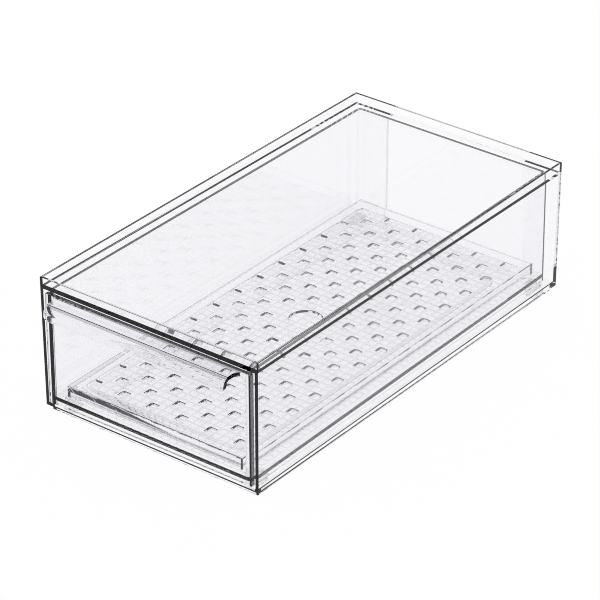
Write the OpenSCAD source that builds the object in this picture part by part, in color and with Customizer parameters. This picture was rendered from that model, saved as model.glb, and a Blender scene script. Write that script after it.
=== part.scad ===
// Clear stacking box: a sleeve-like case, a pull-out drawer and a loose drain tray.
// The drawer pulls out towards -Y, and the pads stand on z = 0.

/* [Case] */
// Width of the case halfway back, at the bottom edge of its walls
case_w = 210; // [160:1:300]
// Depth of the case at the bottom edge of its walls
case_d = 400; // [300:1:460]
// Height from the bottom edge of the walls to the top of the rim
case_h = 115; // [90:1:160]
// Thickness of the side and back walls
case_wall = 3; // [2:0.1:4]
// Thickness of the top panel
panel_t = 3.3; // [2:0.1:5]
// Thickness of the case's floor
case_floor_t = 2.4; // [2:0.1:4]
// Height of the floor's underside above the bottom edge of the walls, at the front
floor_recess = 0.9; // [0:0.1:4]
// How much the floor rises, and the top panel falls, from the front to the back
case_draft = 1.4; // [0:0.1:2]
// How much further out each wall stands at the rim than at its bottom edge
wall_lean = 0.9; // [0:0.1:2]
// How much further out each side stands at the front than halfway back
side_flare = 0.9; // [0:0.1:2]
// Distance from the case's side to the opening in the back wall
window_from_side = 36; // [15:1:70]
// Distance from the underside of the top panel to the opening in the back wall
window_from_top = 0.8; // [0.3:0.1:20]
// Radius of the back opening's corners
window_r = 4; // [1:0.5:10]

/* [Stacking rim, foot ring and pads] */
// Height of the rim above the top panel, at the front
rim_h = 6.5; // [5.5:0.1:10]
// Thickness of the rim
rim_t = 2; // [1.5:0.1:4]
// Side clearance between the foot ring and the rim of the case below
stack_gap = 1.5; // [0.3:0.1:3]
// Height of the foot ring below the bottom edge of the walls
foot_h = 4.7; // [2:0.1:5]
// Thickness of the foot ring
foot_t = 2.5; // [1.5:0.1:4]
// Diameter of an anti-slip pad
pad_d = 15; // [8:0.5:20]
// How far the pads stand below the foot ring
pad_proud = 0.3; // [0.1:0.1:0.4]
// Distance from the case's side to the middle of a pad
pad_from_side = 15; // [14:0.5:30]
// Distance from the case's front or back to the middle of a pad
pad_from_end = 17; // [16:0.5:40]

/* [Drawer] */
// Gap between the left end of the drawer's front plate and the case's wall
front_gap_left = 0.4; // [0.3:0.1:4]
// Gap between the right end of the drawer's front plate and the case's wall
front_gap_right = 3.8; // [0.3:0.1:5]
// How far each end of the front plate reaches past the side of the drawer
front_overhang = 1.1; // [0:0.1:3]
// How much further in each side of the drawer stands at its back than at its front
drawer_taper = 4.1; // [2:0.1:8]
// Gap between the top of the drawer and the top panel, at the back
top_gap = 1; // [0.5:0.1:8]
// Gap between the drawer and the back wall
back_gap = 1; // [0.5:0.1:10]
// Running gap between the drawer and the case's floor
slide_gap = 0.3; // [0.2:0.1:1]
// Thickness of the drawer's side and back walls
drawer_wall = 2.8; // [2:0.1:4]
// Thickness of the drawer's front plate
front_t = 3.6; // [2.5:0.1:5]
// Thickness of the drawer's floor
drawer_floor_t = 3.4; // [2:0.1:5]
// Height of the drawer floor's underside above the bottom edge of its walls
drawer_recess = 2.4; // [1:0.1:5]
// Outer radius of the drawer's back corners
drawer_r = 4; // [2:0.5:15]
// Smallest inner radius of those corners
drawer_inner_r = 1.2; // [0.5:0.1:2]
// Inner radius of the drawer's front corners
drawer_front_r = 3; // [1:0.5:10]
// Distance from the drawer's side to the glide rib under its floor
glide_from_side = 28; // [15:1:50]
// Distance from the drawer's front or back to the glide rib
glide_from_end = 31; // [15:1:60]
// Width of the glide rib
glide_w = 2.5; // [1.5:0.1:5]
// Outer radius of the glide rib's corners
glide_r = 11; // [6:0.5:20]

/* [Handle] */
// Distance from the end of the front plate to the handle lip
handle_from_end = 12.3; // [7:0.1:40]
// Radius of the fillet between each end of the lip and the front plate
handle_root_r = 6.4; // [1:0.1:6.5]
// Thickness of the handle lip
handle_t = 2.4; // [2:0.1:4]
// How far the lip reaches out from the drawer's front
handle_out = 16.7; // [14:0.1:30]
// How far the lip's lower edge hangs below its top
handle_drop = 11.9; // [11.8:0.1:25]
// Outer radius of the bend along the lip
handle_bend_r = 7.3; // [4.5:0.1:7.5]
// How much shorter the lip gets at each end for each millimetre below its bend
handle_end_down = 0.2; // [0:0.01:0.6]
// Radius of the lip's lower corners
handle_corner_r = 4; // [1:0.5:4]

/* [Drain tray] */
// Gap between the tray and each side of the drawer at the drawer's back
tray_side_gap = 5.8; // [4.5:0.1:30]
// Gap between the tray and the drawer's front and back
tray_end_gap = 5.3; // [2:0.1:60]
// How far the tray lies to the side of the drawer's middle
tray_to_side = -0.8; // [-4:0.1:4]
// Air gap under the tray's skirt
tray_seat_gap = 0.1; // [0:0.1:0.3]
// Height of the tray
tray_h = 10.3; // [6:0.1:20]
// Thickness of the tray's top plate
tray_t = 2; // [1.5:0.1:4]
// Thickness of the tray's skirt
skirt_t = 2; // [1.5:0.1:4]
// Size of a square drain hole
hole_size = 7.6; // [4:0.1:12]
// Corner radius of a drain hole
hole_r = 1; // [0.5:0.1:2]
// Distance between drain holes in one row
hole_pitch = 28.8; // [20:0.1:40]
// Smallest distance from the tray's edge to the middle of a hole
hole_margin = 14; // [10:0.5:30]
// Diameter of the finger hole in the middle
finger_d = 28; // [18:0.5:40]

/* [Hidden] */

$fn = 48;
clear_plastic = [0.90, 0.92, 0.96, 0.45];
clear_tray = [0.84, 0.88, 0.95, 0.60];
soft_pad = [0.72, 0.73, 0.76];

// Overshoot of a cut past the face that it opens
cut = 1;
// Number of straight sides in a drain hole's corner
hole_corner_sides = 3;
// Numbers of straight sides in a corner of the drawer and in the lip's bend
corner_sides = 8;
bend_sides = 16;
// A cube this large reaches past the whole box from any point in it
far = 4 * (case_w + case_d + case_h);

// Flat levels: the walls' bottom edge and the rim's top
edge_z = foot_h + pad_proud;
rim_top = edge_z + case_h;

// Slopes of the case's faces, per millimetre
lean = wall_lean / case_h;
flare = side_flare / (case_d / 2);
draft = case_draft / case_d;

// Sloping levels of the case, as height at the front and climb per millimetre towards the back
function flat(z) = [z, 0];
function raised(level, step) = [level[0] + step, level[1]];
function height_at(level, y) = level[0] + level[1] * (y + case_d / 2);
floor_under = [edge_z + floor_recess, draft];
floor_top = raised(floor_under, case_floor_t);
panel_top = [rim_top - rim_h, -draft];
ceiling = raised(panel_top, -panel_t);

// Outer half-sizes of the case, and how far in its foot ring stands
function case_half_w(y, z) = case_w / 2 - flare * y + lean * (z - edge_z);
function case_half_d(z) = case_d / 2 + lean * (z - edge_z);
foot_inset = rim_t + stack_gap;

// The drawer's place: its front plate fills the opening between two gaps, and it stands on the floor
drawer_front_y = -case_d / 2;
drawer_foot_z = floor_top[0] + slide_gap;
drawer_tilt = atan(draft);
opening_half = case_half_w(drawer_front_y, drawer_foot_z) - case_wall;
front_half = opening_half - (front_gap_left + front_gap_right) / 2;
drawer_to_side = (front_gap_left - front_gap_right) / 2;

// The drawer's own sizes, with its bottom edge at z = 0
drawer_back_y = case_d / 2 - case_wall - back_gap;
drawer_h = height_at(ceiling, drawer_back_y) - height_at(floor_top, drawer_back_y) - top_gap - slide_gap;
drawer_floor_top = drawer_recess + drawer_floor_t;
drawer_l = drawer_back_y - drawer_front_y;
side_front = front_half - front_overhang;
side_back = side_front - drawer_taper;
inner_r = max(drawer_r - drawer_wall, drawer_inner_r);
handle_half = front_half - handle_from_end;

// The tray's own sizes
tray_w = 2 * (side_back - drawer_wall - tray_side_gap);
tray_l = drawer_l - front_t - drawer_wall - 2 * tray_end_gap;
tray_mid_y = (drawer_front_y + front_t + drawer_back_y - drawer_wall) / 2;

// The whole object, handle included, is centred on the origin
y_min = drawer_front_y - handle_out - (drawer_h - handle_bend_r) * sin(drawer_tilt);
y_max = case_half_d(rim_top);
centre_shift = -(y_min + y_max) / 2;

module in_place() {
    translate([0, centre_shift, 0]) children();
}

// Sets the drawer, or the tray in it, down on the case's rising floor
module on_case_floor() {
    in_place()
        translate([drawer_to_side, drawer_front_y, drawer_foot_z])
            rotate([drawer_tilt, 0, 0])
                translate([0, -drawer_front_y, 0])
                    children();
}

// Space on the inner side of one leaning wall, whose foot is at x = reach, y = 0
module inside_of_wall(reach, slope_y, slope_z) {
    turn = atan(slope_y);
    translate([reach, 0, edge_z])
        rotate([0, atan(slope_z * cos(turn)), turn])
            translate([-far, -far, -far])
                cube([far, 2 * far, 2 * far]);
}

// Space above a level, or below it
module above(level) {
    translate([0, -case_d / 2, level[0]])
        rotate([atan(level[1]), 0, 0])
            translate([-far, -far, 0])
                cube([2 * far, 2 * far, far]);
}

module below(level) {
    translate([0, -case_d / 2, level[0]])
        rotate([atan(level[1]), 0, 0])
            translate([-far, -far, -far])
                cube([2 * far, 2 * far, far]);
}

// Block between two levels with the case's leaning faces, moved in by the given amounts
module case_block(bottom, top, side_in, front_in, back_in) {
    intersection() {
        above(bottom);
        below(top);
        inside_of_wall(case_w / 2 - side_in, flare, lean);
        mirror([1, 0, 0])
            inside_of_wall(case_w / 2 - side_in, flare, lean);
        rotate([0, 0, 90])
            inside_of_wall(case_d / 2 - back_in, 0, lean);
        rotate([0, 0, -90])
            inside_of_wall(case_d / 2 - front_in, 0, lean);
    }
}

// Rectangle with round corners, centred in x, standing on y = 0
module rounded_rect(w, h, r) {
    translate([-w / 2 + r, 0])
        square([w - 2 * r, h]);
    translate([-w / 2, r])
        square([w, h - 2 * r]);
    for (x = [-w / 2 + r, w / 2 - r], y = [r, h - r])
        translate([x, y])
            circle(r);
}

// Opening in the back wall, from the floor up
module back_window() {
    inner_y = case_half_d(edge_z) - case_wall - cut;
    outer_y = case_half_d(rim_top) + cut;
    sill_z = height_at(floor_top, outer_y);
    head_z = height_at(ceiling, outer_y) - window_from_top;
    translate([0, outer_y, sill_z])
        rotate([90, 0, 0])
            linear_extrude(outer_y - inner_y)
                rounded_rect(case_w - 2 * window_from_side, head_z - sill_z, window_r);
}

// The case: a tube with a rim, a foot ring and a window in its back wall
module outer_case() color(clear_plastic) in_place() {
    foot_in = foot_inset + foot_t;
    difference() {
        union() {
            case_block(flat(edge_z), flat(rim_top), 0, 0, 0);
            case_block(flat(pad_proud), flat(edge_z), foot_inset, foot_inset, foot_inset);
        }
        // cavity, open at the front
        case_block(floor_top, ceiling, case_wall, -cut, case_wall);
        // recess inside the rim
        case_block(panel_top, flat(rim_top + cut), rim_t, rim_t, rim_t);
        // recess inside the foot ring
        case_block(flat(pad_proud - cut), floor_under, foot_in, foot_in, foot_in);
        back_window();
    }
}

// Half-width of the drawer's tapered side at y, with the given halves at its two ends
function tapered_half(front_half, back_half, y0, y1, y) =
    front_half + (back_half - front_half) * (y - y0) / (y1 - y0);

// Points along an arc
function arc_points(middle, r, from, to, sides) = [
    for (k = [0:sides])
        let (angle = from + (to - from) * k / sides)
        middle + r * [cos(angle), sin(angle)]
];

// A right half outline with its mirror image in x
function both_sides(right) =
    concat(right, [for (i = [len(right) - 1:-1:0]) [-right[i][0], right[i][1]]]);

// Outline of a tapered tub: round corners at the back, and at the front where front_r > 0
function tub_outline(front_half, back_half, y0, y1, back_r, front_r) =
    let (
        turn = atan((front_half - back_half) / (y1 - y0)),
        front_y = y0 + front_r,
        back_y = y1 - back_r,
        front_x = tapered_half(front_half, back_half, y0, y1, front_y) - front_r / cos(turn),
        back_x = tapered_half(front_half, back_half, y0, y1, back_y) - back_r / cos(turn),
        right = concat(
            front_r > 0 ? arc_points([front_x, front_y], front_r, -90, turn, corner_sides) : [[front_x, y0]],
            arc_points([back_x, back_y], back_r, turn, 90, corner_sides)
        )
    )
    both_sides(right);

// Outline of the space inside the drawer's walls
function drawer_inside() = tub_outline(
    side_front - drawer_wall, side_back - drawer_wall,
    drawer_front_y + front_t, drawer_back_y - drawer_wall,
    inner_r, drawer_front_r
);

module drawer_shell() {
    difference() {
        linear_extrude(drawer_h)
            polygon(tub_outline(side_front, side_back, drawer_front_y, drawer_back_y, drawer_r, 0));
        // inside, above the floor
        translate([0, 0, drawer_floor_top])
            linear_extrude(drawer_h - drawer_floor_top + cut)
                polygon(drawer_inside());
        // recess under the floor
        translate([0, 0, -cut])
            linear_extrude(drawer_recess + cut)
                polygon(drawer_inside());
    }
}

// Rounded ring under the drawer's floor, which it glides on
module glide_rib() {
    half_w = side_back - glide_from_side;
    length = drawer_l - 2 * glide_from_end;
    translate([0, drawer_front_y + glide_from_end, 0])
        linear_extrude(drawer_recess)
            difference() {
                rounded_rect(2 * half_w, length, glide_r);
                translate([0, glide_w])
                    rounded_rect(2 * (half_w - glide_w), length - 2 * glide_w, glide_r - glide_w);
            }
}

// Outline of the lip's section: x is the distance out, y the height above the drawer's top
function lip_section() =
    let (bend = [handle_out - handle_bend_r, -handle_bend_r])
    concat(
        [[-front_t, -handle_t], [-front_t, 0]],
        arc_points(bend, handle_bend_r, 90, 0, bend_sides),
        [[handle_out, -handle_drop], [handle_out - handle_t, -handle_drop]],
        arc_points(bend, handle_bend_r - handle_t, 0, 90, bend_sides)
    );

// Outline of the lip from above: x is sideways, y the distance out, with a fillet at each root
function lip_plan() = both_sides(concat(
    [[handle_half + handle_root_r, -front_t - cut]],
    arc_points([handle_half + handle_root_r, handle_root_r], handle_root_r, 270, 180, corner_sides),
    [[handle_half, handle_out + cut]]
));

// Outline of the lip from the front: x is sideways, y the height above the drawer's top
function lip_face() =
    let (
        turn = atan(handle_end_down),
        middle_y = handle_corner_r - handle_drop,
        side_x = handle_half - handle_end_down * (-handle_bend_r - middle_y),
        middle = [side_x - handle_corner_r / cos(turn), middle_y]
    )
    both_sides(concat(
        [[handle_half + handle_root_r + cut, cut], [handle_half + handle_root_r + cut, -handle_bend_r]],
        [[handle_half, -handle_bend_r]],
        arc_points(middle, handle_corner_r, -turn, -90, corner_sides)
    ));

// Curved lip along the top of the drawer's front
module handle() {
    translate([0, drawer_front_y, drawer_h])
        intersection() {
            translate([handle_half + handle_root_r + cut, 0, 0])
                rotate([90, 0, -90])
                    linear_extrude(2 * (handle_half + handle_root_r + cut))
                        polygon(lip_section());
            translate([0, 0, -handle_drop - cut])
                linear_extrude(handle_drop + 2 * cut)
                    mirror([0, 1])
                        polygon(lip_plan());
            translate([0, front_t + cut, 0])
                rotate([90, 0, 0])
                    linear_extrude(handle_out + front_t + 2 * cut)
                        polygon(lip_face());
        }
}

module drawer() color(clear_plastic) on_case_floor() {
    drawer_shell();
    // front plate, a little wider than the tub behind it
    translate([-front_half, drawer_front_y, 0])
        cube([2 * front_half, front_t, drawer_h]);
    glide_rib();
    handle();
}

// Corner points of a square with round corners, centred on the origin
function rounded_square_points(size, r, sides) = [
    for (corner = [0:3], k = [0:sides])
        let (
            angle = 90 * (corner + k / sides),
            middle = (size / 2 - r) * [corner == 0 || corner == 3 ? 1 : -1, corner < 2 ? 1 : -1]
        )
        middle + r * [cos(angle), sin(angle)]
];

// Middles of the drain holes: staggered rows, clear of the finger hole
row_step = hole_pitch / 2;
last_row = floor((tray_l / 2 - hole_margin) / row_step);
last_column = floor((tray_w / 2 - hole_margin) / row_step);
finger_clear = finger_d / 2 + hole_size / sqrt(2);
hole_middles = [
    for (row = [-last_row:last_row], column = [-last_column:last_column])
        if ((row + column) % 2 != 0 && norm([row, column]) * row_step > finger_clear)
            [column * row_step, row * row_step]
];

// The tray: a perforated plate on a low skirt
module drain_tray() color(clear_tray) on_case_floor()
    translate([tray_to_side, tray_mid_y, drawer_floor_top + tray_seat_gap]) {
        translate([0, 0, tray_h - tray_t])
            linear_extrude(tray_t)
                difference() {
                    square([tray_w, tray_l], center = true);
                    for (middle = hole_middles)
                        translate(middle)
                            polygon(rounded_square_points(hole_size, hole_r, hole_corner_sides));
                    circle(d = finger_d);
                }
        linear_extrude(tray_h - tray_t)
            difference() {
                square([tray_w, tray_l], center = true);
                square([tray_w - 2 * skirt_t, tray_l - 2 * skirt_t], center = true);
            }
    }

// One anti-slip pad under the case's floor, inside the foot ring
module foot_pad(side, end) color(soft_pad) in_place() {
    middle_y = end * (case_d / 2 - pad_from_end);
    translate([side * (case_w / 2 - pad_from_side), middle_y, 0])
        cylinder(h = height_at(floor_under, middle_y - pad_d / 2), d = pad_d);
}

module foot_pad_front_left() foot_pad(-1, -1);
module foot_pad_front_right() foot_pad(1, -1);
module foot_pad_back_left() foot_pad(-1, 1);
module foot_pad_back_right() foot_pad(1, 1);

outer_case();
drawer();
drain_tray();
foot_pad_front_left();
foot_pad_front_right();
foot_pad_back_left();
foot_pad_back_right();
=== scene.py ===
"""Clear stacking drawer box: moulded case on silicone pads, drawer with a curved lip, and drain tray."""
from math import cos, radians, sin

import bmesh
import bpy
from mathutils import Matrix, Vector


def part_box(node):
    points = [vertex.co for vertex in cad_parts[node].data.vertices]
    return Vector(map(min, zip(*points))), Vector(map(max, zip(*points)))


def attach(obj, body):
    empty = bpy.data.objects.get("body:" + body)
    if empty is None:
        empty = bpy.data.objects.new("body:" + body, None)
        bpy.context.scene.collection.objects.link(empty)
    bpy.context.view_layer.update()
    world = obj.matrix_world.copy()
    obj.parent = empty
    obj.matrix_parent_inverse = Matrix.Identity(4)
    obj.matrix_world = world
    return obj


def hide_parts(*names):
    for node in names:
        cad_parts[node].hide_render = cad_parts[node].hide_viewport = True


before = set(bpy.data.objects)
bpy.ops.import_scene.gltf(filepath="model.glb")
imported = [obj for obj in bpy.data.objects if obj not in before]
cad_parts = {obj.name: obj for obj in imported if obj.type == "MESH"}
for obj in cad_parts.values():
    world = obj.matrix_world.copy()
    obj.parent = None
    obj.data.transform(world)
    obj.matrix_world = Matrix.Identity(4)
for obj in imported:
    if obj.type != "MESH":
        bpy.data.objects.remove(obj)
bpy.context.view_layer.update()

MM = 0.001

# Where the case and the drawer lie at rest
CASE_LOW, CASE_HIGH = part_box("outer_case")
CASE_MIDDLE_Y = (CASE_LOW[1] + CASE_HIGH[1]) / 2
DRAWER_LOW, DRAWER_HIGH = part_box("drawer")
DRAWER_MIDDLE_X = (DRAWER_LOW[0] + DRAWER_HIGH[0]) / 2

# ---------------------------------------------------------------- camera

VIEW_AZIMUTH = radians(37.604)
VIEW_ELEVATION = radians(29.552)
VIEW_DISTANCE = 2837.75 * MM
VIEW_HEIGHT = 62.33 * MM
# Width and height of the picture, and where the camera's target falls in it, in pixels
PICTURE = 600
TARGET_PIXEL = (309.39, 281.44)
# Lens and sensor, in millimetres, and how far the camera sees, in metres
LENS = 213.05
SENSOR = 36
FAR_CLIP = 100


def add_camera():
    """A long lens from the front right, a little above the box."""
    target = Vector((0, CASE_MIDDLE_Y, VIEW_HEIGHT))
    back = Vector((
        sin(VIEW_AZIMUTH) * cos(VIEW_ELEVATION),
        -cos(VIEW_AZIMUTH) * cos(VIEW_ELEVATION),
        sin(VIEW_ELEVATION),
    ))
    lens = bpy.data.cameras.new("camera")
    lens.lens = LENS
    lens.sensor_width = SENSOR
    lens.shift_x = (PICTURE / 2 - TARGET_PIXEL[0]) / PICTURE
    lens.shift_y = (TARGET_PIXEL[1] - PICTURE / 2) / PICTURE
    lens.clip_end = FAR_CLIP
    camera = bpy.data.objects.new("camera", lens)
    bpy.context.scene.collection.objects.link(camera)
    camera.location = target + back * VIEW_DISTANCE
    camera.rotation_euler = back.to_track_quat("Z", "Y").to_euler()
    bpy.context.scene.camera = camera


# ---------------------------------------------------------------- nodes

# The factor and the two colours among a Mix node's sockets
FACTOR, COLOUR_A, COLOUR_B = 0, 6, 7


def linear(code):
    """An sRGB hex colour as linear RGBA."""
    parts = [int(code[i:i + 2], 16) / 255 for i in (0, 2, 4)]
    return [p / 12.92 if p <= 0.04045 else ((p + 0.055) / 1.055) ** 2.4 for p in parts] + [1]


def grey(level):
    """A linear grey as RGBA."""
    return level, level, level, 1


def new_material(name):
    """A material and its emptied node tree."""
    material = bpy.data.materials.new(name)
    material.use_nodes = True
    material.node_tree.nodes.clear()
    return material, material.node_tree


def add(tree, kind, settings=None, links=None):
    """A node with its settings and its sockets: a value is set, a socket is linked."""
    node = tree.nodes.new(kind)
    for key, value in (settings or {}).items():
        setattr(node, key, value)
    for key, value in (links or {}).items():
        if isinstance(value, bpy.types.NodeSocket):
            tree.links.new(value, node.inputs[key])
        else:
            node.inputs[key].default_value = value
    return node


def ray_is(tree, *kinds):
    """1 for light paths of the given kinds, 0 for the others."""
    path = add(tree, "ShaderNodeLightPath")
    share = path.outputs[kinds[0]]
    for kind in kinds[1:]:
        share = add(tree, "ShaderNodeMath", {"operation": "ADD", "use_clamp": True}, {
            0: share, 1: path.outputs[kind],
        }).outputs[0]
    return share


# ---------------------------------------------------------------- materials

# The attribute that says how much painted shade a face carries, from 0 for a clear wall to 1 for the
# painted edge shade
PAINTED_SHADE = "painted_shade"
CLEAR_TINT = "FEFEFF"
# Painted shade: the dark grey that stands for what thick clear edges show of a darker room
EDGE_SHADE_PAINT = "303034"

# The colour of the styrene itself, and how fast it gathers along a path in the case and in the drawer
BODY_TINT = "E6E3E8"
CASE_DENSITY = 18
DRAWER_DENSITY = 28

STYRENE_IOR = 1.57
# A polished skin, whose roughness varies a little with the flow
POLISH = 0.01
POLISH_SPREAD = 0.5
# The faint waves that the flow leaves in the skin
FLOW_WIDTH = 60 * MM
FLOW_HEIGHT = 0.002 * MM
# The skin mirrors less than bare styrene does, because the studio is whiter than a real room
MIRRORED = grey(0.3)

PAD_TINTS = ("F2F3F6", "FAFAFB")
PAD_MOTTLE = 4 * MM
SILICONE_IOR = 1.41


def clear_moulding(name, density):
    """Clear moulded styrene: glassy skin, faint flow ripple, and a tint that gathers over long paths.

    Marked faces get painted shade, a grey for what thick clear edges show of a darker room.
    """
    material, tree = new_material(name)
    place = add(tree, "ShaderNodeTexCoord")
    flow = add(tree, "ShaderNodeTexNoise", links={
        "Vector": place.outputs["Object"], "Scale": 1 / FLOW_WIDTH, "Detail": 1.0, "Roughness": 0.4,
    })
    bump = add(tree, "ShaderNodeBump", links={
        "Height": flow.outputs[0], "Distance": FLOW_HEIGHT, "Strength": 1.0,
    })
    haze = add(tree, "ShaderNodeMapRange", links={
        "Value": flow.outputs[0],
        "To Min": POLISH * (1 - POLISH_SPREAD), "To Max": POLISH * (1 + POLISH_SPREAD),
    })
    # Painted shade, mixed into the skin's colour where the attribute marks a face
    shade_mask = add(tree, "ShaderNodeAttribute", {"attribute_name": PAINTED_SHADE})
    colour = add(tree, "ShaderNodeMix", {"data_type": "RGBA"}, {
        FACTOR: shade_mask.outputs["Fac"], COLOUR_A: linear(CLEAR_TINT), COLOUR_B: linear(EDGE_SHADE_PAINT),
    })
    skin = add(tree, "ShaderNodeBsdfPrincipled", links={
        "Base Color": colour.outputs[2], "IOR": STYRENE_IOR, "Transmission Weight": 1.0,
        "Specular Tint": MIRRORED, "Roughness": haze.outputs[0], "Normal": bump.outputs[0],
    })
    inside = add(tree, "ShaderNodeVolumeAbsorption", links={
        "Color": linear(BODY_TINT), "Density": density,
    })
    add(tree, "ShaderNodeOutputMaterial", links={
        "Surface": skin.outputs[0], "Volume": inside.outputs[0],
    })
    return material


def pad_silicone():
    """Moulded silicone rubber: milky, soft and matt."""
    material, tree = new_material("moulded_silicone")
    place = add(tree, "ShaderNodeTexCoord")
    mottle = add(tree, "ShaderNodeTexNoise", links={
        "Vector": place.outputs["Object"], "Scale": 1 / PAD_MOTTLE, "Detail": 2.0,
    })
    colour = add(tree, "ShaderNodeMix", {"data_type": "RGBA"}, {
        FACTOR: mottle.outputs[0], COLOUR_A: linear(PAD_TINTS[0]), COLOUR_B: linear(PAD_TINTS[1]),
    })
    skin = add(tree, "ShaderNodeBsdfPrincipled", links={
        "Base Color": colour.outputs[2], "Roughness": 0.5, "Transmission Weight": 0.9, "IOR": SILICONE_IOR,
    })
    add(tree, "ShaderNodeOutputMaterial", links={"Surface": skin.outputs[0]})
    return material


def paint(piece, material):
    """Gives a piece one material."""
    piece.data.materials.clear()
    piece.data.materials.append(material)


# ---------------------------------------------------------------- mesh work

# Points this close are one, faces this level are one, and a cut this close to a point goes through it
MERGE = 0.002 * MM
FLAT = radians(0.5)
CUT = 0.001 * MM

# An edge between faces that turn by more than this is sharp
SHARP = radians(35)
# Rounded edges get painted shade, and have more steps than edges that are only softened
ROUNDING_STEPS = 3
EDGE_PAINTED_SHADE = 0.43
HAIRLINE_STEPS = 2
# How strongly the wide faces hold the shading of the walls flat
WALL_WEIGHT = 100

# Slack for finding a face by its place: on a known plane, and on a curve or near an edge
CLOSE = 0.1 * MM
LOOSE = 0.5 * MM
# A face looks along an axis when its normal has more than this much of it
ALONG = 0.9
# The same, but strict enough to leave out the first step of a rounded edge
LEVEL = 0.99


def open_mesh(piece):
    """Opens a piece in edit mode with nothing else selected."""
    bpy.ops.object.select_all(action="DESELECT")
    bpy.context.view_layer.objects.active = piece
    piece.select_set(True)
    bpy.ops.object.mode_set(mode="EDIT")
    bpy.ops.mesh.select_mode(type="FACE")
    bpy.ops.mesh.select_all(action="DESELECT")


def pick_faces(piece, wanted):
    """Selects the faces that a test of centre and normal wants."""
    mesh = bmesh.from_edit_mesh(piece.data)
    for face in mesh.faces:
        face.select_set(wanted(face.calc_center_median(), face.normal))
    mesh.select_flush_mode()
    bmesh.update_edit_mesh(piece.data)


def paint_shade_on_faces(piece, amount, wanted=None):
    """Paints shade on the faces that a test of centre and normal wants, or else on the selected ones."""
    shade_marks = piece.data.attributes.get(PAINTED_SHADE) or piece.data.attributes.new(PAINTED_SHADE, "FLOAT", "FACE")
    for face in piece.data.polygons:
        chosen = wanted(face.center, face.normal) if wanted else face.select
        if chosen:
            shade_marks.data[face.index].value = amount


def copy_of(node_name, piece_name):
    """A merged copy of a CAD piece, whose flat faces are whole."""
    piece = bpy.data.objects.new(piece_name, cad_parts[node_name].data.copy())
    bpy.context.scene.collection.objects.link(piece)
    open_mesh(piece)
    bpy.ops.mesh.select_all(action="SELECT")
    bpy.ops.mesh.remove_doubles(threshold=MERGE)
    bpy.ops.mesh.dissolve_limited(angle_limit=FLAT)
    bpy.ops.object.mode_set(mode="OBJECT")
    return piece


def round_edges(piece, edge_r, wanted):
    """Rounds the sharp outside edges that a test of middle and outward direction wants, and paints shade
    on them.
    """
    open_mesh(piece)
    bpy.ops.mesh.select_mode(type="EDGE")
    mesh = bmesh.from_edit_mesh(piece.data)
    for edge in mesh.edges:
        if edge.is_manifold and edge.is_convex and edge.calc_face_angle() > SHARP:
            middle = (edge.verts[0].co + edge.verts[1].co) / 2
            outward = edge.link_faces[0].normal + edge.link_faces[1].normal
            edge.select_set(wanted(middle, outward))
    bmesh.update_edit_mesh(piece.data)
    bpy.ops.mesh.bevel(offset=edge_r, segments=ROUNDING_STEPS, affect="EDGES", clamp_overlap=False)
    bpy.ops.object.mode_set(mode="OBJECT")
    # Painted shade on the rounded edges
    paint_shade_on_faces(piece, EDGE_PAINTED_SHADE)


def soften_edges(piece, edge_r):
    """Rounds all sharp edges by a hairline, which keeps the shading of the walls flat.

    The modifier holds the radius down to what the smallest faces leave room for, far below edge_r.
    """
    bpy.context.view_layer.objects.active = piece
    bevel = piece.modifiers.new("edges", "BEVEL")
    bevel.width = edge_r
    bevel.segments = HAIRLINE_STEPS
    bevel.limit_method = "ANGLE"
    bevel.angle_limit = SHARP
    bpy.ops.object.modifier_apply(modifier=bevel.name)


def finish_piece(piece, node_name, body, material):
    """Smooths the curved faces, keeps the flat ones flat, and hands the piece to its body."""
    bpy.ops.object.select_all(action="DESELECT")
    bpy.context.view_layer.objects.active = piece
    piece.select_set(True)
    bpy.ops.object.shade_smooth_by_angle(angle=SHARP)
    level = piece.modifiers.new("flat_walls", "WEIGHTED_NORMAL")
    level.mode = "FACE_AREA"
    level.weight = WALL_WEIGHT
    level.keep_sharp = True
    bpy.ops.object.modifier_apply(modifier=level.name)
    paint(piece, material)
    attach(piece, body)
    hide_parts(node_name)


# ---------------------------------------------------------------- case

# Depth of the case at the bottom edge of its walls
CASE_DEPTH = 400 * MM
CASE_EDGE_R = 0.5 * MM
RIM_EDGE_R = 0.4 * MM
# Painted shade on the narrow top face of the rim
RIM_PAINTED_SHADE = 0.4


def round_rim(piece):
    """Rounds both edges of the rim's top, and paints shade on them and on the narrow face between them."""
    round_edges(piece, RIM_EDGE_R, lambda middle, outward: middle.z > CASE_HIGH[2] - RIM_EDGE_R)
    paint_shade_on_faces(piece, RIM_PAINTED_SHADE, lambda centre, normal: (
        centre.z > CASE_HIGH[2] - CLOSE and normal.z > LEVEL
    ))


# ---------------------------------------------------------------- drawer

DRAWER_EDGE_R = 0.3 * MM

# How much the drawer's floor and its top rise from the front of the case to its back
RISE = 1.4 * MM
CLIMB = RISE / CASE_DEPTH

# The front plate, whose ends are the drawer's widest faces
FRONT_FACE = CASE_MIDDLE_Y - CASE_DEPTH / 2
FRONT_T = 3.6 * MM
FRONT_TOP = DRAWER_HIGH[2] - RISE
FRONT_END_SLACK = 1 * MM
# Full painted shade on the top and the ends of the front plate
FRONT_PAINTED_SHADE = 1.0

# The lip: how far its lower edge hangs below its top, and how much thicker it is than in CAD
LIP_DROP = 11.9 * MM
LIP_BOTTOM = FRONT_TOP - LIP_DROP
LIP_THICKER = 1.2 * MM
# Its inner face looks back and down, and hardly sideways
LIP_INWARD = 0.5
LIP_SIDEWAYS = 0.05
# The part of its bend that gets a painted dark line of shade, as how far down the inner face looks there
BEND_FROM = sin(radians(62))
BEND_TO = sin(radians(89))
BEND_PAINTED_SHADE = 0.6
# Its lower edge lies at least this far in front of the plate
LIP_EDGE_OUT = 8 * MM
# Painted shade on the lip's lower edge
LIP_EDGE_PAINTED_SHADE = 0.25

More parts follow.
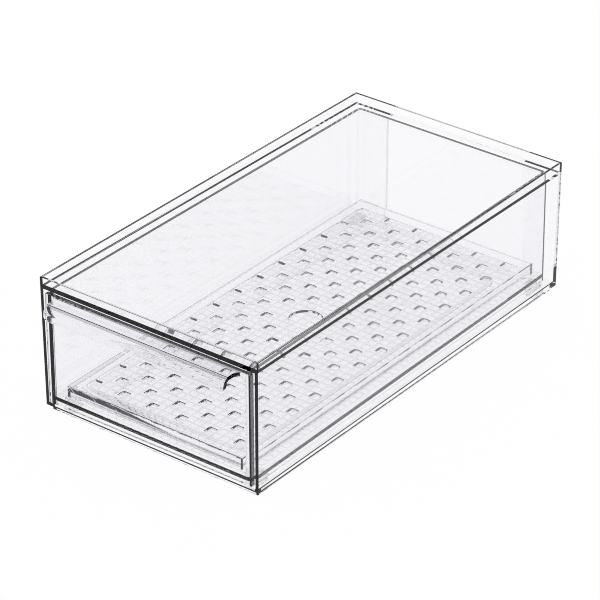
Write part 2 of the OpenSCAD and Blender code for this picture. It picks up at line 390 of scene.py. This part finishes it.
# The floor's top above the drawer's lowest point, at the front
FLOOR_LEVEL = 5.8 * MM
# The grid of shallow squares in the floor, each with narrow sloping sides
GRID_COLUMNS = 24
GRID_ROWS = 50
GRID_PITCH = 7.6 * MM
GRID_SQUARE = 5.8 * MM
GRID_SIDE = 0.2 * MM
GRID_DEPTH = 0.25 * MM
GRID_FROM_BACK = 9.45 * MM
# Painted shade on the lands between the squares
GRID_LAND_PAINTED_SHADE = 0.28


def on_lip_inside(centre, normal):
    """Whether a face belongs to the lip's inner face."""
    return (
        centre.y < FRONT_FACE - LOOSE and centre.z > LIP_BOTTOM + LOOSE
        and abs(normal.x) < LIP_SIDEWAYS and normal.y - normal.z > LIP_INWARD
    )


def on_front_rim(centre, normal):
    """Whether a face belongs to the drawer's top or to an end of its front plate."""
    reach = (DRAWER_HIGH[0] - DRAWER_LOW[0]) / 2 - FRONT_END_SLACK
    top = centre.z > FRONT_TOP - LOOSE and normal.z > ALONG
    end = abs(centre.x - DRAWER_MIDDLE_X) > reach and abs(normal.x) > ALONG
    return top or end


def on_floor(centre, normal):
    """Whether a face belongs to the top of the sloping floor."""
    height = centre.z - DRAWER_LOW[2] - FLOOR_LEVEL - CLIMB * (centre.y - FRONT_FACE)
    return abs(height) < CLOSE and normal.z > ALONG


def thicken_lip(piece):
    """Thickens the lip from its inner face, then paints shade as the dark line of its bend and on its
    lower edge.
    """
    open_mesh(piece)
    pick_faces(piece, on_lip_inside)
    bpy.ops.transform.shrink_fatten(value=LIP_THICKER, use_even_offset=True)
    bpy.ops.object.mode_set(mode="OBJECT")
    paint_shade_on_faces(piece, BEND_PAINTED_SHADE, lambda centre, normal: (
        on_lip_inside(centre, normal) and BEND_FROM < -normal.z < BEND_TO
    ))
    paint_shade_on_faces(piece, LIP_EDGE_PAINTED_SHADE, lambda centre, normal: (
        centre.y < FRONT_FACE - LIP_EDGE_OUT and abs(centre.z - LIP_BOTTOM) < LOOSE
        and normal.z < -ALONG
    ))


def press_floor_grid(piece):
    """Presses rows of shallow squares into the floor, and paints shade on the lands between them."""
    left = DRAWER_MIDDLE_X - GRID_COLUMNS / 2 * GRID_PITCH
    right = left + GRID_COLUMNS * GRID_PITCH
    back = DRAWER_HIGH[1] - GRID_FROM_BACK
    front = back - GRID_ROWS * GRID_PITCH

    def in_grid(centre, normal):
        return on_floor(centre, normal) and left < centre.x < right and front < centre.y < back

    open_mesh(piece)
    cuts = [((left + k * GRID_PITCH, 0, 0), (1, 0, 0)) for k in range(GRID_COLUMNS + 1)]
    cuts += [((0, front + k * GRID_PITCH, 0), (0, 1, 0)) for k in range(GRID_ROWS + 1)]
    for place, across in cuts:
        pick_faces(piece, on_floor)
        bpy.ops.mesh.bisect(plane_co=place, plane_no=across, threshold=CUT)
    pick_faces(piece, in_grid)
    bpy.ops.mesh.inset(use_individual=True, thickness=(GRID_PITCH - GRID_SQUARE) / 2)
    bpy.ops.mesh.inset(use_individual=True, thickness=GRID_SIDE, depth=-GRID_DEPTH)
    bpy.ops.object.mode_set(mode="OBJECT")
    paint_shade_on_faces(piece, GRID_LAND_PAINTED_SHADE, in_grid)


def paint_front_rim_shade(piece):
    """Paints shade on the top and the ends of the front plate, where light leaves its thick clear wall."""
    back = FRONT_FACE + FRONT_T
    open_mesh(piece)
    for cut in (FRONT_FACE, back):
        pick_faces(piece, on_front_rim)
        bpy.ops.mesh.bisect(plane_co=(0, cut, 0), plane_no=(0, 1, 0), threshold=CUT)
    bpy.ops.object.mode_set(mode="OBJECT")
    paint_shade_on_faces(piece, FRONT_PAINTED_SHADE, lambda centre, normal: (
        FRONT_FACE < centre.y < back and on_front_rim(centre, normal)
    ))


# ---------------------------------------------------------------- tray

HOLE_EDGE_R = 0.5 * MM
# An edge is an upper one when the normals of its two faces rise together by more than this
UPPER = 0.5


def round_tray_top(piece):
    """Rounds the upper edges of the drain holes, the finger hole and the plate, and paints shade on them.
    """
    round_edges(piece, HOLE_EDGE_R, lambda middle, outward: outward.z > UPPER)


# ---------------------------------------------------------------- studio

WHITE = grey(1)
# Width of the table top, in metres
FLOOR_SIZE = 60.0
# Share of the floor's look that is plain white, and the paint that takes the shadow in the rest
FLOOR_GLOW = 0.98
FLOOR_PAINT = grey(0.9)
# Heights of a direction, from 0 at the horizon to 1 overhead, up to which the studio is white and
# from which it is grey
STUDIO_WHITE_TO = 0.5
STUDIO_GREY_FROM = 0.75
STUDIO_GREY = grey(0.9)


def add_floor():
    """A white table top that shows as white and keeps a faint shadow of the box."""
    bpy.ops.object.select_all(action="DESELECT")
    bpy.ops.mesh.primitive_plane_add(size=FLOOR_SIZE, location=(0, 0, 0))
    floor = bpy.context.object
    floor.name = "floor"
    material, tree = new_material("white_table_top")
    glow = add(tree, "ShaderNodeEmission", links={"Color": WHITE, "Strength": 1.0})
    matt = add(tree, "ShaderNodeBsdfDiffuse", links={"Color": FLOOR_PAINT})
    seen = ray_is(tree, "Is Camera Ray", "Is Glossy Ray", "Is Transmission Ray")
    share = add(tree, "ShaderNodeMath", {"operation": "MULTIPLY"}, {0: seen, 1: FLOOR_GLOW})
    both = add(tree, "ShaderNodeMixShader", links={
        0: share.outputs[0], 1: matt.outputs[0], 2: glow.outputs[0],
    })
    add(tree, "ShaderNodeOutputMaterial", links={"Surface": both.outputs[0]})
    floor.data.materials.append(material)


def add_world():
    """Soft even light from a white studio, which looks darker overhead in and through the box."""
    world = bpy.data.worlds.new("studio")
    world.use_nodes = True
    tree = world.node_tree
    tree.nodes.clear()
    place = add(tree, "ShaderNodeTexCoord")
    parts = add(tree, "ShaderNodeSeparateXYZ", links={0: place.outputs["Generated"]})
    ramp = add(tree, "ShaderNodeValToRGB", links={0: parts.outputs[2]})
    low, high = ramp.color_ramp.elements
    low.position, low.color = STUDIO_WHITE_TO, WHITE
    high.position, high.color = STUDIO_GREY_FROM, STUDIO_GREY
    mirrored = ray_is(tree, "Is Glossy Ray", "Is Transmission Ray")
    colour = add(tree, "ShaderNodeMix", {"data_type": "RGBA"}, {
        FACTOR: mirrored, COLOUR_A: WHITE, COLOUR_B: ramp.outputs[0],
    })
    light = add(tree, "ShaderNodeBackground", links={"Color": colour.outputs[2], "Strength": 1.0})
    add(tree, "ShaderNodeOutputWorld", links={"Surface": light.outputs[0]})
    bpy.context.scene.world = world


# ---------------------------------------------------------------- making it

# Light crosses many clear walls before it leaves the box
BOUNCES = 16
# A narrow pixel filter keeps the thin edge lines crisp
PIXEL_FILTER = 1.0

scene = bpy.context.scene
scene.view_settings.view_transform = "Standard"
scene.cycles.max_bounces = BOUNCES
scene.cycles.glossy_bounces = BOUNCES
scene.cycles.transmission_bounces = BOUNCES
scene.cycles.filter_width = PIXEL_FILTER

add_camera()
add_world()
add_floor()

CLEAR = clear_moulding("clear_moulded_styrene", CASE_DENSITY)
SMOKY = clear_moulding("smoky_moulded_styrene", DRAWER_DENSITY)
PAD = pad_silicone()

case = copy_of("outer_case", "case_moulding")
round_rim(case)
soften_edges(case, CASE_EDGE_R)
finish_piece(case, "outer_case", "case", CLEAR)

drawer = copy_of("drawer", "drawer_moulding")
thicken_lip(drawer)
soften_edges(drawer, DRAWER_EDGE_R)
press_floor_grid(drawer)
paint_front_rim_shade(drawer)
finish_piece(drawer, "drawer", "drawer", SMOKY)

tray = copy_of("drain_tray", "tray_moulding")
round_tray_top(tray)
finish_piece(tray, "drain_tray", "tray", CLEAR)

for name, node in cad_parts.items():
    if name.startswith("foot_pad"):
        paint(node, PAD)
